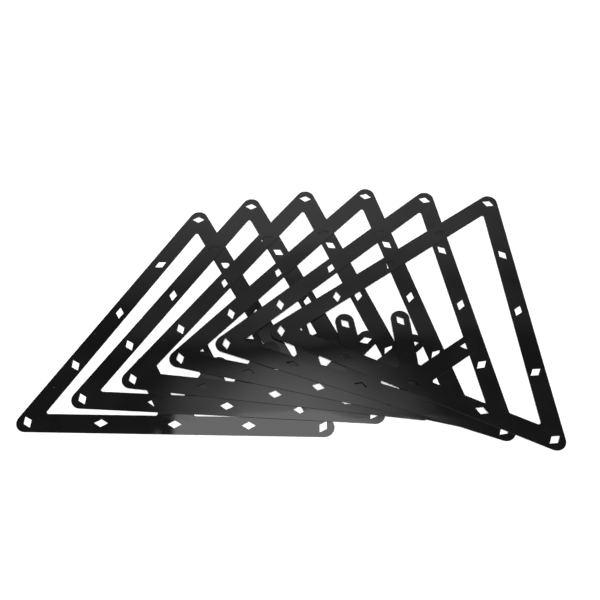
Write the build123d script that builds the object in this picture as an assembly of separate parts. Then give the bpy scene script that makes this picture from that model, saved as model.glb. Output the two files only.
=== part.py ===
from build123d import *
import os

# A set of six identical billiard rack sheets, lying in a loose fan on a table.
# Each rack is one thin sheet of black plastic, die-cut to a triangular frame with five ball
# spots along each side. Two short arms reach from the middle spot of the front side to the
# two inner spots next to it, so that one sheet racks 8-ball, 9-ball and 10-ball.
# Every spot is a small diamond-shaped hole that one ball settles into.
# Units are millimetres. +Z is up, +X runs along the fan and +Y points away from its front
# side. The origin is on the table, under the middle of the fan.

BALL_DIAMETER = 57.15  # a pool ball, and so the distance between neighbouring spots
SPOTS_PER_SIDE = 5
SHEET_THICKNESS = 0.4
AIR_GAP = 0.1  # between one sheet and the next
STRIP_WIDTH = 15.4  # of the frame's three sides
EDGE_MARGIN = 8.4  # from the centre of a spot to the frame's outer edge
ARM_WIDTH = 15.6
ARM_REACH = 59.0  # from the middle front spot to the centre of the arm's round end
ARM_ANGLES = (120, 60)  # from the front side, in degrees
CORNER_RADIUS = 8.0
WINDOW_RADIUS = 1.6  # in every inner corner
DIAMOND_LENGTH = 10.8
DIAMOND_WIDTH = 6.5

# How each rack lies on the one beneath it: the step of its left front corner along X and Y,
# and its turn about that corner, in degrees. The first entry turns the bottom rack itself.
FIRST_TURN = -2.8
STEPS = [
    (40.2, 18.2, -2.2),
    (38.3, 15.6, -3.5),
    (36.8, 17.2, -6.2),
    (37.0, 11.9, -6.2),
    (44.8, 10.4, -5.2),
]

SIDE = (SPOTS_PER_SIDE - 1) * BALL_DIAMETER  # between the spots of two corners
SPOT_INRADIUS = SIDE / (2 * 3**0.5)  # from the rack's middle to a line of spots
ROW_HEIGHT = BALL_DIAMETER * 3**0.5 / 2  # between two rows of balls
LEVEL = SHEET_THICKNESS + AIR_GAP


def spot(row, place):
    """Centre of a ball spot. Row 0 is the front row, and place counts from its left end."""
    return Vector((place + row / 2) * BALL_DIAMETER, row * ROW_HEIGHT)


MIDDLE = Vector(SIDE / 2, SPOT_INRADIUS)
ARM_ROOT = spot(0, 2)

# Each spot and the direction of its diamond's long diagonal, in degrees from the front side.
DIAMONDS = [
    (spot(0, 0), 120),
    (spot(0, 1), 0),
    (spot(0, 2), 0),
    (spot(0, 3), 0),
    (spot(0, 4), 60),
    (spot(1, 0), 120),
    (spot(1, 1), 150),
    (spot(1, 2), 30),
    (spot(1, 3), 60),
    (spot(2, 0), 90),
    (spot(2, 2), 90),
    (spot(3, 0), 30),
    (spot(3, 1), 150),
    (spot(4, 0), 0),
]


def triangle(inradius):
    """Sharp equilateral triangle around the rack's middle, pointing away from the front."""
    return Pos(*MIDDLE) * RegularPolygon(2 * inradius, 3, rotation=90)


def outline():
    sharp = triangle(SPOT_INRADIUS + EDGE_MARGIN)
    return fillet(sharp.vertices(), CORNER_RADIUS)


def arm(angle):
    """Strip with round ends, from the middle front spot to just past an inner one."""
    strip = Pos(ARM_REACH / 2, 0) * SlotCenterToCenter(ARM_REACH, ARM_WIDTH)
    return Pos(*ARM_ROOT) * Rot(Z=angle) * strip


def beside_inner_spot(vertex):
    """Whether a vertex is where an arm's side runs into its round end."""
    return min((Vector(*vertex) - spot(1, place)).length for place in (1, 2)) < ARM_WIDTH


def window():
    """The opening inside the frame, less the two arms, with its inner corners rounded."""
    opening = triangle(SPOT_INRADIUS + EDGE_MARGIN - STRIP_WIDTH)
    for angle in ARM_ANGLES:
        opening -= arm(angle)
    corners = [v for v in opening.vertices() if not beside_inner_spot(v)]
    return fillet(corners, WINDOW_RADIUS)


def diamond():
    """Rhombus with its long diagonal along X."""
    tip = (DIAMOND_LENGTH / 2, 0)
    side = (0, DIAMOND_WIDTH / 2)
    return Polygon(tip, side, (-tip[0], 0), (0, -side[1]))


def rack_sheet():
    """One rack, flat on Z = 0, with its left front spot on the origin."""
    face = outline() - window()
    for centre, angle in DIAMONDS:
        face -= Pos(*centre) * Rot(Z=angle) * diamond()
    return extrude(face, SHEET_THICKNESS)


def fan():
    """The six racks from the bottom one up, each on its own level."""
    x, y, turn = 0, 0, FIRST_TURN
    racks = [Rot(Z=turn) * rack_sheet()]
    for level, (step_x, step_y, step_turn) in enumerate(STEPS, start=1):
        x += step_x
        y += step_y
        turn += step_turn
        racks.append(Pos(x, y, level * LEVEL) * Rot(Z=turn) * rack_sheet())
    return racks


def centred(racks):
    """Moves the racks together until the origin is under the middle of the fan."""
    box = Compound(children=[copy_of(r) for r in racks]).bounding_box()
    centre = box.center()
    return [Pos(-centre.X, -centre.Y, 0) * r for r in racks]


def copy_of(shape):
    return Pos(0, 0, 0) * shape


os.makedirs("parts", exist_ok=True)
for number, rack in enumerate(centred(fan()), start=1):
    export_step(rack, f"parts/rack_sheet_{number}.step")
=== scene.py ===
import math

import bpy
import numpy as np
from mathutils import Matrix, Vector
from mathutils.bvhtree import BVHTree
from mathutils.geometry import delaunay_2d_cdt


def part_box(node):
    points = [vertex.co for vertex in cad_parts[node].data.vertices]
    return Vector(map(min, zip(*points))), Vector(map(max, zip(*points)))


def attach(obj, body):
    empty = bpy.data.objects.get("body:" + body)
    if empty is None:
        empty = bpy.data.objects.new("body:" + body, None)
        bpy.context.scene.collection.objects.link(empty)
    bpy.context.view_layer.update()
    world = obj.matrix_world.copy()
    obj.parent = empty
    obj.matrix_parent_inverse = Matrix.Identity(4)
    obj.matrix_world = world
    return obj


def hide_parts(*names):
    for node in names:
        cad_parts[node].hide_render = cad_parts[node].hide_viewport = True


# Six thin black rack sheets, lying in a fan on a white table. Each sheet is built again from the
# outline of its CAD node, as a fine mesh that droops onto the table and the sheets beneath it.
# Lengths are in metres.

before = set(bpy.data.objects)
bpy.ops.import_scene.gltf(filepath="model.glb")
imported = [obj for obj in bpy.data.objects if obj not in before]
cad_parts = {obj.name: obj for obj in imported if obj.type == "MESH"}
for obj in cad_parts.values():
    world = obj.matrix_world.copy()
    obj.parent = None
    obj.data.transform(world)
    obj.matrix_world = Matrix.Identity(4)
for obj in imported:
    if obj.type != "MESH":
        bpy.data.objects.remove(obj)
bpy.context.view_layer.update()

MM = 0.001

# The sheets.
MESH_STEP = 3.0 * MM  # between neighbouring vertices
DROOP_STEP = 6.0 * MM  # the same, for the coarser mesh that works out the droop
SETBACK = 0.6  # of a step: what inner vertices keep from the outlines
SLIVER = 0.01  # of a step squared: smaller triangles are slips of rounding along straight edges
MERGE_DISTANCE = 1e-7
TOP_TOLERANCE = 0.1 * MM  # a face with all its corners this near the top is part of the top
ARC_CHORD = 2.6 * MM  # a shorter stretch of outline between two gentle turns is part of an arc
GENTLE_TURNS = (math.radians(1), math.radians(50))
RIM = 0.04 * MM  # rounding of the cut edges
CONTACT_GAP = 0.08 * MM  # left between two sheets that touch
CONTACT_REACH = 1.5 * MM  # a vertex over a sheet beneath, or this near to being so, rests on it

# How the plastic bends: its stiffness, and the weight that pulls it down, in SI units.
YOUNG = 3.0e9
POISSON = 0.38
DENSITY = 1350
GRAVITY = 9.81
FAINT_SPRING = 20  # per metre of height, against the sheet's weight: keeps the sums well posed
CONTACT_SPRING = 500  # newtons per metre, at each point that touches
SETTLING_ROUNDS = 60
LINE_SEARCH_STEPS = 12
TOLERANCE = 0.002 * MM

# The plastic. Lengths of its patterns are given as how many fit in a metre.
BLACK = (0.0042, 0.0062)  # darkest and lightest
BLACK_TINT = (1.0, 1.0, 1.03)
ROUGHNESS = (0.02, 0.045)  # glossiest and dullest
IOR = 1.5
PATTERN_SHIFT = (0.7, 0.3, 0.1)  # from one sheet's pattern to the next
MARKS_PER_METRE = 30
SHADE_MARKS = (0.3, 0.7)  # the levels of the marks between which the shade changes
GLOSS_MARKS = (0.35, 0.75)
WAVES_PER_METRE = 12
WAVE_DEPTH = 0.8 * MM  # on a sheet that lies on others
FLAT_WAVE_DEPTH = 0.1 * MM  # on the bottom sheet, which the table keeps flat
WARP_DEPTH = 1.0 * MM  # a sheet that lies on others shades as if it rose this much to the front
WARP_FRONT = -55 * MM
WARP_BACK = 25 * MM
PEEL_PER_METRE = 420
PEEL_DEPTH = 0.002 * MM
SCRATCHES_PER_METRE = 900
SCRATCH_TURNS = (0.3, 1.4, 2.5)  # one direction of scratches for each
SCRATCH_STRETCHES = (0.05, 0.03, 0.04)  # the smaller, the longer the scratches
SCRATCH_HALF_WIDTH = 0.012
SCRATCH_PATCHES = (0.6, 0.7)  # scratches show where the noise is above these levels
SCRATCH_ROUGHNESS = 0.04
SPECK_HEIGHT = 0.001 * MM
DUST_PER_METRE = 260
DUST_RADIUS = 0.09
DUST_RARITY = 0.985  # the share of cells with no speck
DUST_SHADE = 0.12
DUST_ROUGHNESS = 0.5

# The table.
TABLE_SIZE = 8.0
TABLE_GAP = 0.02 * MM
TABLE_WHITE = 0.9

# The light. A direction is given by where it meets a ceiling one unit up: (right, back). An edge,
# fade, top, start or side is a pair: where there is no light yet, and where it is full.
HORIZON_RISE = 0.02  # lower directions count as this high
BOX_LIGHT = 3.2  # the softbox overhead
BOX_LEFT_EDGE = (-0.184, -0.173)
BOX_RIGHT_FADE = (0.27, 0.05)
BOX_BACK_EDGE = (0.443, 0.437)
BOX_FRONT_FADE = (-1.6, -0.9)
BANK_LIGHT = 4.4  # a wide bank of lights, overhead and in front
BANK_PLACE = (0.0, -0.6)
BANK_REACH = (1.6, 1.6)
BANK_BACK_FADE = (0.3, 0.0)
SPILL_LIGHT = 2.4  # the softbox's glow on the ceiling behind it
SPILL_PLACE = (0.0, 0.41)
SPILL_REACH = (0.26, 0.215)
GLINT_LIGHT = 1.8  # a small bright spot beside the softbox
GLINT_PLACE = (-0.201, 0.408)
GLINT_REACH = (0.007, 0.013)
WALL_LIGHT = 0.8  # the pale wall behind, with a dimmer top
WALL_TOP = (0.60, 0.645)
WALL_TOP_SHARE = 0.32
WALL_START = (0.63, 0.79)
WALL_SIDES = (0.68, 0.0)
LOW_WALL_LIGHT = 1.0  # the walls all round, by how steeply a direction rises
LOW_WALLS = (0.6, 0.1)
ROOM_LIGHT = 0.04

# The camera.
CAMERA_PLACE = Vector((12.738, -335.464, 556.8)) * MM
CAMERA_DOWN = 58.128  # degrees below level
CAMERA_ROLL = math.radians(-1.694)
CAMERA_TURN = math.radians(0.036)
CAMERA_LENS = 46.59
CAMERA_SENSOR = 36.0
CAMERA_CLIP = 10 * MM


# ---------------------------------------------------------------- outlines

def top_loops(node):
    """The outline and holes of a flat CAD node's top face, as loops of (x, y) points.

    The sheet lies to the left of each loop.
    """
    mesh = node.data
    top = max(v.co.z for v in mesh.vertices)
    points = [(round(v.co.x, 7), round(v.co.y, 7)) for v in mesh.vertices]
    edges = set()
    for face in mesh.polygons:
        if min(mesh.vertices[i].co.z for i in face.vertices) < top - TOP_TOLERANCE:
            continue
        corners = [points[i] for i in face.vertices]
        for edge in zip(corners, corners[1:] + corners[:1]):
            if edge[::-1] in edges:
                edges.remove(edge[::-1])
            else:
                edges.add(edge)
    following = dict(sorted(edges))
    loops = []
    while following:
        start, point = following.popitem()
        loop = [start]
        while point != start:
            loop.append(point)
            point = following.pop(point)
        loops.append(np.array(loop))
    return loops


def turns(loop):
    """Signed turn of a closed loop at each of its points, in radians."""
    ahead = np.roll(loop, -1, axis=0) - loop
    behind = np.roll(ahead, 1, axis=0)
    cross = behind[:, 0] * ahead[:, 1] - behind[:, 1] * ahead[:, 0]
    return np.arctan2(cross, (behind * ahead).sum(axis=1))


def rounder(loop):
    """The loop with a point on the true arc over the middle of each chord of a rounded corner."""
    turn = turns(loop)
    gentle = (np.abs(turn) > GENTLE_TURNS[0]) & (np.abs(turn) < GENTLE_TURNS[1])
    points = []
    for i, start in enumerate(loop):
        j = (i + 1) % len(loop)
        points.append(start)
        chord = loop[j] - start
        length = np.hypot(*chord)
        if length < ARC_CHORD and gentle[i] and gentle[j]:
            arc = max(turn[i], turn[j], key=abs)
            outward = np.array([chord[1], -chord[0]])
            points.append(start + chord / 2 + outward * math.tan(arc / 4) / 2)
    return np.array(points)


def thinned(loop, step):
    """The loop without the points that crowd its rounded corners."""
    sharp = np.abs(turns(loop)) > GENTLE_TURNS[1]
    kept = [loop[0]]
    for point, is_sharp in zip(loop[1:], sharp[1:]):
        room = min(np.hypot(*(point - kept[-1])), np.hypot(*(point - loop[0])))
        if is_sharp or room > step / 2:
            kept.append(point)
    return np.array(kept)


def resampled(loop, step):
    """The loop with its long straight stretches divided evenly."""
    points = []
    for start, end in zip(loop, np.roll(loop, -1, axis=0)):
        count = max(1, round(np.hypot(*(end - start)) / step))
        points += [start + (end - start) * k / count for k in range(count)]
    return np.array(points)


def inside(points, loops):
    """Whether each point is within the outline and outside its holes."""
    crossings = np.zeros(len(points), int)
    x, y = points[:, 0], points[:, 1]
    for loop in loops:
        for (ax, ay), (bx, by) in zip(loop, np.roll(loop, -1, axis=0)):
            if ay == by:
                continue
            spans = (ay > y) != (by > y)
            crossings += spans & (x < ax + (y - ay) * (bx - ax) / (by - ay))
    return crossings % 2 == 1


def lattice(loops, step):
    """Evenly spaced points within the outline, set back from its edges."""
    edge = np.concatenate(loops)
    low, high = edge.min(axis=0), edge.max(axis=0)
    rows = np.arange(low[1], high[1], step * math.sqrt(3) / 2)
    columns = np.arange(low[0], high[0], step)
    grid = np.array([(x + step * (r % 2) / 2, y) for r, y in enumerate(rows) for x in columns])
    grid = grid[inside(grid, loops)]
    distance = np.linalg.norm(grid[:, None, :] - edge[None, :, :], axis=2).min(axis=1)
    return grid[distance > SETBACK * step]


def triangulated(loops, step):
    """A flat sheet as triangles: points, triangles, and the outlines as loops of point numbers."""
    loops = [resampled(loop, step) for loop in loops]
    rim = np.concatenate(loops)
    points = np.concatenate([rim, lattice(loops, step)])
    numbers, first = [], 0
    for loop in loops:
        numbers.append(np.arange(first, first + len(loop)))
        first += len(loop)
    edges = [(int(a), int(b)) for loop in numbers for a, b in zip(loop, np.roll(loop, -1))]
    made = delaunay_2d_cdt([Vector(p) for p in points], edges, [], 0, MERGE_DISTANCE)
    flat = np.array([tuple(v) for v in made[0]])
    triangles = facing_up(flat, np.array([tuple(f) for f in made[2]]))
    wanted = inside(flat[triangles].mean(axis=1), loops)
    wanted &= areas(flat, triangles) > SLIVER * step**2
    order = {source: new for new, sources in enumerate(made[3]) for source in sources}
    numbers = [np.array([order[i] for i in loop]) for loop in numbers]
    return flat, triangles[wanted], numbers


def areas(flat, triangles):
    """The area of each triangle, below zero for one that faces down."""
    a, b, c = (flat[triangles[:, k]] for k in range(3))
    return ((b - a)[:, 0] * (c - a)[:, 1] - (b - a)[:, 1] * (c - a)[:, 0]) / 2


def facing_up(flat, triangles):
    """The triangles, with those that face down turned over."""
    return np.where(areas(flat, triangles)[:, None] > 0, triangles, triangles[:, ::-1])


# ---------------------------------------------------------------- droop

def slopes(flat, triangles):
    """For each triangle, the matrix that turns its corners' heights into a slope, and its area."""
    a, b, c = (flat[triangles[:, k]] for k in range(3))
    area = areas(flat, triangles)
    opposite = np.stack([c - b, a - c, b - a], axis=1)
    turned = np.stack([-opposite[..., 1], opposite[..., 0]], axis=2)
    return turned / (2 * area)[:, None, None], area


def bending(flat, triangles, stiffness):
    """The thin plate's stiffness matrix, from the fold at each edge that two triangles share."""
    slope, area = slopes(flat, triangles)
    sides = {}
    for t, corners in enumerate(triangles):
        for k in range(3):
            pair = (corners[k], corners[(k + 1) % 3])
            sides.setdefault((min(pair), max(pair)), []).append(t)
    matrix = np.zeros((len(flat), len(flat)))
    for (i, j), pair in sides.items():
        if len(pair) != 2:
            continue
        along = flat[j] - flat[i]
        length = np.hypot(*along)
        across = np.array([along[1], -along[0]]) / length
        nodes, fold = [], []
        for t, sign in zip(pair, (1, -1)):
            nodes += list(triangles[t])
            fold += list(sign * slope[t] @ across)
        fold = np.array(fold)
        # Half of this times the fold squared is the energy of one hinge between two flat triangles.
        weight = stiffness * 3 * length**2 / (area[pair[0]] + area[pair[1]])
        places = (np.repeat(nodes, len(nodes)), np.tile(nodes, len(nodes)))
        np.add.at(matrix, places, (weight * np.outer(fold, fold)).ravel())
    return matrix


def loads(flat, triangles, weight):
    """The force on each point, for a weight per square metre."""
    share = np.zeros(len(flat))
    third = areas(flat, triangles) / 3
    for k in range(3):
        np.add.at(share, triangles[:, k], third)
    return -weight * share


def support(flat, beneath):
    """The height that holds each point up: the table, or the highest sheet under it."""
    height = np.zeros(len(flat))
    for sheet in beneath:
        for i, (x, y) in enumerate(flat):
            place, _, face, _ = sheet["tree"].find_nearest(Vector((x, y, 0)), CONTACT_REACH)
            if place is None:
                continue
            corners = sheet["triangles"][face]
            top = interpolated(place, sheet["flat"][corners], sheet["height"][corners])
            height[i] = max(height[i], top + sheet["thickness"] + CONTACT_GAP)
    return height


def interpolated(place, corners, values):
    """The value at a place in a triangle, from the values at its corners."""
    edges = np.column_stack([corners[1] - corners[0], corners[2] - corners[0]])
    share = np.linalg.solve(edges, np.array([place.x, place.y]) - corners[0])
    return values[0] + share @ (values[1:] - values[0])


def draped(matrix, load, floor):
    """Heights at which the plate comes to rest on springs that only push: Newton's method."""
    faint = FAINT_SPRING * np.abs(load).mean()

    def pull(height):
        pushing = CONTACT_SPRING * (height < floor)
        return matrix @ height + faint * height + pushing * (height - floor) - load

    height = floor.copy()
    for _ in range(SETTLING_ROUNDS):
        pushing = CONTACT_SPRING * (height < floor)
        goal = np.linalg.solve(matrix + np.diag(faint + pushing), load + pushing * floor)
        change = goal - height
        low, high = 0.0, 1.0
        if pull(goal) @ change > 0:
            for _ in range(LINE_SEARCH_STEPS):
                middle = (low + high) / 2
                if pull(height + middle * change) @ change > 0:
                    high = middle
                else:
                    low = middle
        height = height + high * change
        if np.abs(change).max() < TOLERANCE:
            break
    return height


def drooped(node, beneath):
    """A coarse sheet that rests on the table and on the sheets beneath it."""
    low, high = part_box(node.name)
    thickness = high.z - low.z
    loops = [thinned(loop, DROOP_STEP) for loop in top_loops(node)]
    flat, triangles, _ = triangulated(loops, DROOP_STEP)
    stiffness = YOUNG * thickness**3 / (12 * (1 - POISSON**2))
    load = loads(flat, triangles, DENSITY * GRAVITY * thickness)
    height = draped(bending(flat, triangles, stiffness), load, support(flat, beneath))
    corners = [tuple(int(i) for i in t) for t in triangles]
    tree = BVHTree.FromPolygons([(x, y, 0) for x, y in flat], corners)
    slope = vertex_slopes(flat, triangles, height)
    return {"flat": flat, "triangles": triangles, "height": height, "slope": slope,
            "thickness": thickness, "tree": tree}


def vertex_slopes(flat, triangles, height):
    """The slope at each vertex: the mean of the triangles around it, by area."""
    slope, area = slopes(flat, triangles)
    slope = np.einsum("tki,tk->ti", slope, height[triangles])
    total = np.zeros((len(flat), 2))
    weight = np.zeros((len(flat), 1))
    for k in range(3):
        np.add.at(total, triangles[:, k], slope * area[:, None])
        np.add.at(weight, triangles[:, k], area[:, None])
    return total / weight


def eased(points, sheet):
    """Height and slope at each point, blended smoothly between the coarse sheet's vertices."""
    heights, leanings = [], []
    for point in points:
        face = sheet["tree"].find_nearest(Vector((*point, 0)))[2]
        corners = sheet["triangles"][face]
        places = sheet["flat"][corners]
        edges = np.column_stack([places[1] - places[0], places[2] - places[0]])
        share = np.linalg.solve(edges, point - places[0])
        share = np.clip([1 - share.sum(), *share], 0, 1)
        share = share**2 * (3 - 2 * share)
        share /= share.sum()
        leaning = sheet["slope"][corners]
        reached = sheet["height"][corners] + (leaning * (point - places)).sum(axis=1)
        heights.append(share @ reached)
        leanings.append(share @ leaning)
    return np.array(heights), np.array(leanings)


# ---------------------------------------------------------------- the sheets

def inward(flat, loops):
    """Unit directions into the sheet at the points of its outlines."""
    direction = np.zeros_like(flat)
    for loop in loops:
        along = flat[np.roll(loop, -1)] - flat[np.roll(loop, 1)]
        direction[loop] = np.column_stack([-along[:, 1], along[:, 0]])
    length = np.linalg.norm(direction, axis=1)
    length[length == 0] = 1
    return direction / length[:, None]


def sheet_faces(triangles, loops, count):
    """Faces of a closed sheet. Its vertices are the top, the bottom, and the two rims between."""
    bottom, upper = count, 2 * count
    lower = upper + sum(len(loop) for loop in loops)
    faces = [list(t) for t in triangles] + [list(t[::-1] + bottom) for t in triangles]
    first = 0
    for loop in loops:
        place = first + np.arange(len(loop))
        for i, j, a, b in zip(loop, np.roll(loop, -1), place, np.roll(place, -1)):
            faces.append([i, upper + a, upper + b, j])
            faces.append([upper + a, lower + a, lower + b, upper + b])
            faces.append([lower + a, bottom + i, bottom + j, lower + b])
        first += len(loop)
    return [[int(i) for i in face] for face in faces]


def sheet_mesh(name, node, sheet):
    """A closed sheet with slightly rounded edges, bent to the coarse sheet's shape."""
    flat, triangles, loops = triangulated([rounder(loop) for loop in top_loops(node)], MESH_STEP)
    height, slope = eased(flat, sheet)
    thickness = sheet["thickness"]
    into = inward(flat, loops)
    rim = np.concatenate(loops)
    inset = flat + RIM * into
    layers = [
        np.column_stack([inset, height + thickness]),
        np.column_stack([inset, height]),
        np.column_stack([flat, height + thickness - RIM])[rim],
        np.column_stack([flat, height + RIM])[rim],
    ]
    upward = np.column_stack([-slope, np.ones(len(flat))])
    outward = np.column_stack([-into[rim], np.zeros(len(rim))])
    normals = np.concatenate([upward, -upward, outward, outward])
    normals /= np.linalg.norm(normals, axis=1)[:, None]
    mesh = bpy.data.meshes.new(name)
    mesh.from_pydata(np.concatenate(layers).tolist(), [], sheet_faces(triangles, loops, len(flat)))
    mesh.shade_smooth()
    mesh.normals_split_custom_set_from_vertices(normals.tolist())
    return mesh


def draped_rack(number, node, beneath):
    """One sheet of the fan, in place of its flat CAD node."""
    sheet = drooped(node, beneath)
    name = f"draped_rack_{number}"
    piece = bpy.data.objects.new(name, sheet_mesh(name, node, sheet))
    bpy.context.collection.objects.link(piece)
    piece.data.materials.append(plastic(number))
    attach(piece, f"rack_{number}")
    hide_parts(node.name)
    return sheet


# ---------------------------------------------------------------- shader helpers

def added(tree, kind, **settings):
    """A new shader node with some of its settings or input values given."""
    node = tree.nodes.new(kind)
    for name, value in settings.items():
        if hasattr(node, name):
            setattr(node, name, value)
        else:
            node.inputs[name].default_value = value
    return node


def worked(tree, operation, *values):
    """The result of a Math node. Each value is a number or another node's output."""
    node = added(tree, "ShaderNodeMath", operation=operation)
    for socket, value in zip(node.inputs, values):
        if isinstance(value, (int, float)):
            socket.default_value = value
        else:
            tree.links.new(value, socket)
    return node.outputs[0]


def times(tree, *values):
    """The product of numbers and nodes' outputs."""
    total = values[0]
    for value in values[1:]:
        total = worked(tree, "MULTIPLY", total, value)
    return total


def plus(tree, *values):
    """The sum of numbers and nodes' outputs."""
    total = values[0]
    for value in values[1:]:
        total = worked(tree, "ADD", total, value)
    return total


def ramped(tree, value, low, high, to_low=0.0, to_high=1.0):
    """Moves smoothly from to_low to to_high as the value goes from low to high."""
    node = added(tree, "ShaderNodeMapRange", interpolation_type="SMOOTHSTEP")
    ends = {"From Min": low, "From Max": high, "To Min": to_low, "To Max": to_high}
    for name, number in ends.items():
        node.inputs[name].default_value = number
    tree.links.new(value, node.inputs["Value"])
    return node.outputs["Result"]


def noise(tree, place, per_metre, detail):
    """Smooth noise around 0.5."""
    node = added(tree, "ShaderNodeTexNoise", Scale=per_metre, Detail=detail)
    tree.links.new(place, node.inputs["Vector"])
    return node.outputs[0]


def placed(tree, place, **change):
    """A place in space that is moved, turned or scaled."""
    node = added(tree, "ShaderNodeMapping", **change)
    tree.links.new(place, node.inputs["Vector"])
    return node.outputs["Vector"]


# ---------------------------------------------------------------- plastic

def plastic(number):
    """Glossy black sheet plastic, with faint waves, fine scratches, handling marks and dust."""
    material = bpy.data.materials.new(f"black_sheet_{number}")
    material.use_nodes = True
    tree = material.node_tree
    shader = tree.nodes["Principled BSDF"]
    shader.inputs["IOR"].default_value = IOR
    on_sheet = added(tree, "ShaderNodeTexCoord").outputs["Object"]
    place = placed(tree, on_sheet, Location=[number * step for step in PATTERN_SHIFT])
    marks = noise(tree, place, MARKS_PER_METRE, detail=4)
    scratches = scratched(tree, place)
    dust = dusty(tree, place)

    shade = ramped(tree, marks, *SHADE_MARKS, *BLACK)
    shade = worked(tree, "MULTIPLY_ADD", dust, DUST_SHADE, shade)
    colour = added(tree, "ShaderNodeCombineColor")
    for channel, tint in zip(colour.inputs, BLACK_TINT):
        tree.links.new(times(tree, shade, tint), channel)
    tree.links.new(colour.outputs["Color"], shader.inputs["Base Color"])

    rough = ramped(tree, marks, *GLOSS_MARKS, *ROUGHNESS)
    rough = worked(tree, "MULTIPLY_ADD", scratches, SCRATCH_ROUGHNESS, rough)
    rough = worked(tree, "MULTIPLY_ADD", dust, DUST_ROUGHNESS, rough)
    tree.links.new(rough, shader.inputs["Roughness"])

    wave_depth = FLAT_WAVE_DEPTH if number == 1 else WAVE_DEPTH
    reliefs = [
        (noise(tree, place, WAVES_PER_METRE, detail=1), wave_depth),
        (noise(tree, place, PEEL_PER_METRE, detail=2), PEEL_DEPTH),
        (worked(tree, "SUBTRACT", dust, scratches), SPECK_HEIGHT),
    ]
    if number > 1:
        along = added(tree, "ShaderNodeSeparateXYZ")
        tree.links.new(on_sheet, along.inputs[0])
        reliefs.insert(0, (ramped(tree, along.outputs["Y"], WARP_BACK, WARP_FRONT), WARP_DEPTH))
    tree.links.new(bumped(tree, reliefs), shader.inputs["Normal"])
    return material


def bumped(tree, reliefs):
    """The normal of a surface with reliefs on it, each a pattern and its depth."""
    normal = None
    for height, depth in reliefs:
        bump = added(tree, "ShaderNodeBump", Distance=depth)
        tree.links.new(height, bump.inputs["Height"])
        if normal:
            tree.links.new(normal, bump.inputs["Normal"])
        normal = bump.outputs["Normal"]
    return normal


def scratched(tree, place):
    """Fine hairline scratches: thin level lines of noise stretched along a few directions."""
    total = None
    for turn, stretch in zip(SCRATCH_TURNS, SCRATCH_STRETCHES):
        stretched = placed(tree, place, Rotation=(0, 0, turn), Scale=(stretch, 1, 1))
        level = noise(tree, stretched, SCRATCHES_PER_METRE, detail=0)
        off = worked(tree, "ABSOLUTE", worked(tree, "SUBTRACT", level, 0.5))
        line = ramped(tree, off, SCRATCH_HALF_WIDTH, 0)
        patches = ramped(tree, noise(tree, stretched, MARKS_PER_METRE, detail=1), *SCRATCH_PATCHES)
        line = times(tree, line, patches)
        total = line if total is None else worked(tree, "MAXIMUM", total, line)
    return total


def dusty(tree, place):
    """Sparse specks of dust: the middles of a few random cells."""
    cells = added(tree, "ShaderNodeTexVoronoi", Scale=DUST_PER_METRE)
    tree.links.new(place, cells.inputs["Vector"])
    speck = ramped(tree, cells.outputs["Distance"], DUST_RADIUS, DUST_RADIUS / 2)
    chance = added(tree, "ShaderNodeSeparateColor")
    tree.links.new(cells.outputs["Color"], chance.inputs["Color"])
    return times(tree, speck, worked(tree, "GREATER_THAN", chance.outputs[0], DUST_RARITY))


# ---------------------------------------------------------------- studio

def table_top():
    """A plain white surface under the fan."""
    half = TABLE_SIZE / 2
    signs = ((-1, -1), (1, -1), (1, 1), (-1, 1))
    corners = [(half * x, half * y, -TABLE_GAP) for x, y in signs]
    mesh = bpy.data.meshes.new("table_top")
    mesh.from_pydata(corners, [], [(0, 1, 2, 3)])
    table = bpy.data.objects.new("table_top", mesh)
    bpy.context.collection.objects.link(table)
    material = bpy.data.materials.new("white_table")
    material.use_nodes = True
    shader = material.node_tree.nodes["Principled BSDF"]
    shader.inputs["Base Color"].default_value = (TABLE_WHITE, TABLE_WHITE, TABLE_WHITE, 1)
    shader.inputs["Roughness"].default_value = 1
    shader.inputs["Specular IOR Level"].default_value = 0
    mesh.materials.append(material)


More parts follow.
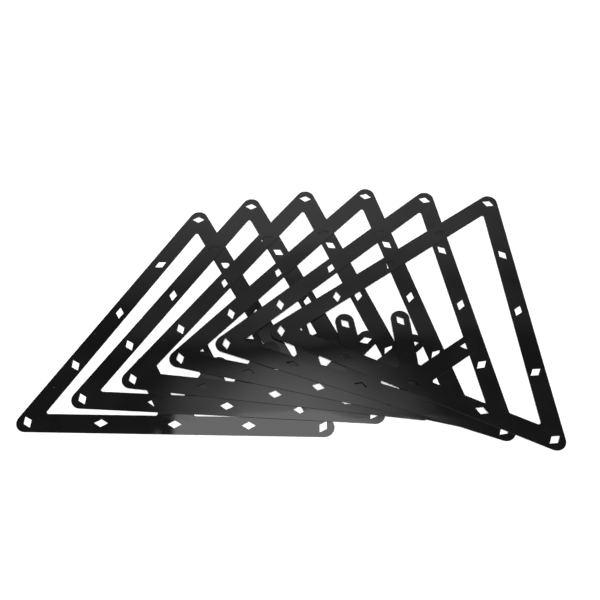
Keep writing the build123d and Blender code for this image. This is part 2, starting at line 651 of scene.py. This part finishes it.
def studio_light():
    """A dim room with a softbox and a bank of lights overhead, their spill, and pale walls."""
    world = bpy.data.worlds.new("studio")
    bpy.context.scene.world = world
    world.use_nodes = True
    tree = world.node_tree
    apart = added(tree, "ShaderNodeSeparateXYZ")
    tree.links.new(added(tree, "ShaderNodeTexCoord").outputs["Generated"], apart.inputs[0])
    x, y, up = apart.outputs
    rise = worked(tree, "MAXIMUM", up, HORIZON_RISE)
    right = worked(tree, "DIVIDE", x, rise)
    back = worked(tree, "DIVIDE", y, rise)

    over_box = ramped(tree, back, *BOX_BACK_EDGE)
    box = times(tree, ramped(tree, right, *BOX_LEFT_EDGE), ramped(tree, right, *BOX_RIGHT_FADE),
                over_box, ramped(tree, back, *BOX_FRONT_FADE), BOX_LIGHT)
    bank = times(tree, faded(tree, right, back, BANK_PLACE, BANK_REACH),
                 ramped(tree, back, *BANK_BACK_FADE), BANK_LIGHT)
    behind_box = worked(tree, "SUBTRACT", 1.0, over_box)
    spill = times(tree, faded(tree, right, back, SPILL_PLACE, SPILL_REACH), behind_box, SPILL_LIGHT)
    glint = times(tree, faded(tree, right, back, GLINT_PLACE, GLINT_REACH), GLINT_LIGHT)

    wall = plus(tree, ramped(tree, back, *WALL_TOP, to_high=WALL_TOP_SHARE),
                ramped(tree, back, *WALL_START, to_high=1 - WALL_TOP_SHARE))
    sides = ramped(tree, worked(tree, "ABSOLUTE", right), *WALL_SIDES)
    wall = times(tree, wall, sides, WALL_LIGHT)
    low_walls = ramped(tree, up, *LOW_WALLS, to_high=LOW_WALL_LIGHT)

    overhead = worked(tree, "MAXIMUM", box, bank)
    lit = plus(tree, overhead, spill, glint, wall, low_walls, ROOM_LIGHT)
    tree.links.new(lit, tree.nodes["Background"].inputs["Strength"])
    tree.nodes["Background"].inputs["Color"].default_value = (1, 1, 1, 1)


def faded(tree, right, back, place, reach):
    """A soft round patch of the ceiling: 1 at its place, 0 beyond its reach."""
    across = worked(tree, "DIVIDE", worked(tree, "SUBTRACT", right, place[0]), reach[0])
    along = worked(tree, "DIVIDE", worked(tree, "SUBTRACT", back, place[1]), reach[1])
    squares = plus(tree, times(tree, across, across), times(tree, along, along))
    return ramped(tree, worked(tree, "SQRT", squares), 1, 0)


def camera():
    """The photograph's viewing angle."""
    data = bpy.data.cameras.new("camera")
    data.lens = CAMERA_LENS
    data.sensor_width = CAMERA_SENSOR
    data.clip_start = CAMERA_CLIP
    eye = bpy.data.objects.new("camera", data)
    bpy.context.collection.objects.link(eye)
    looking = Matrix.Rotation(math.radians(90 - CAMERA_DOWN), 4, "X")
    looking = looking @ Matrix.Rotation(CAMERA_ROLL, 4, "Z") @ Matrix.Rotation(CAMERA_TURN, 4, "Y")
    eye.matrix_world = Matrix.Translation(CAMERA_PLACE) @ looking
    bpy.context.scene.camera = eye


bpy.context.scene.view_settings.view_transform = "Standard"
camera()
studio_light()
table_top()
fan = []
for number, node_name in enumerate(sorted(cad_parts), start=1):
    fan.append(draped_rack(number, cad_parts[node_name], fan))
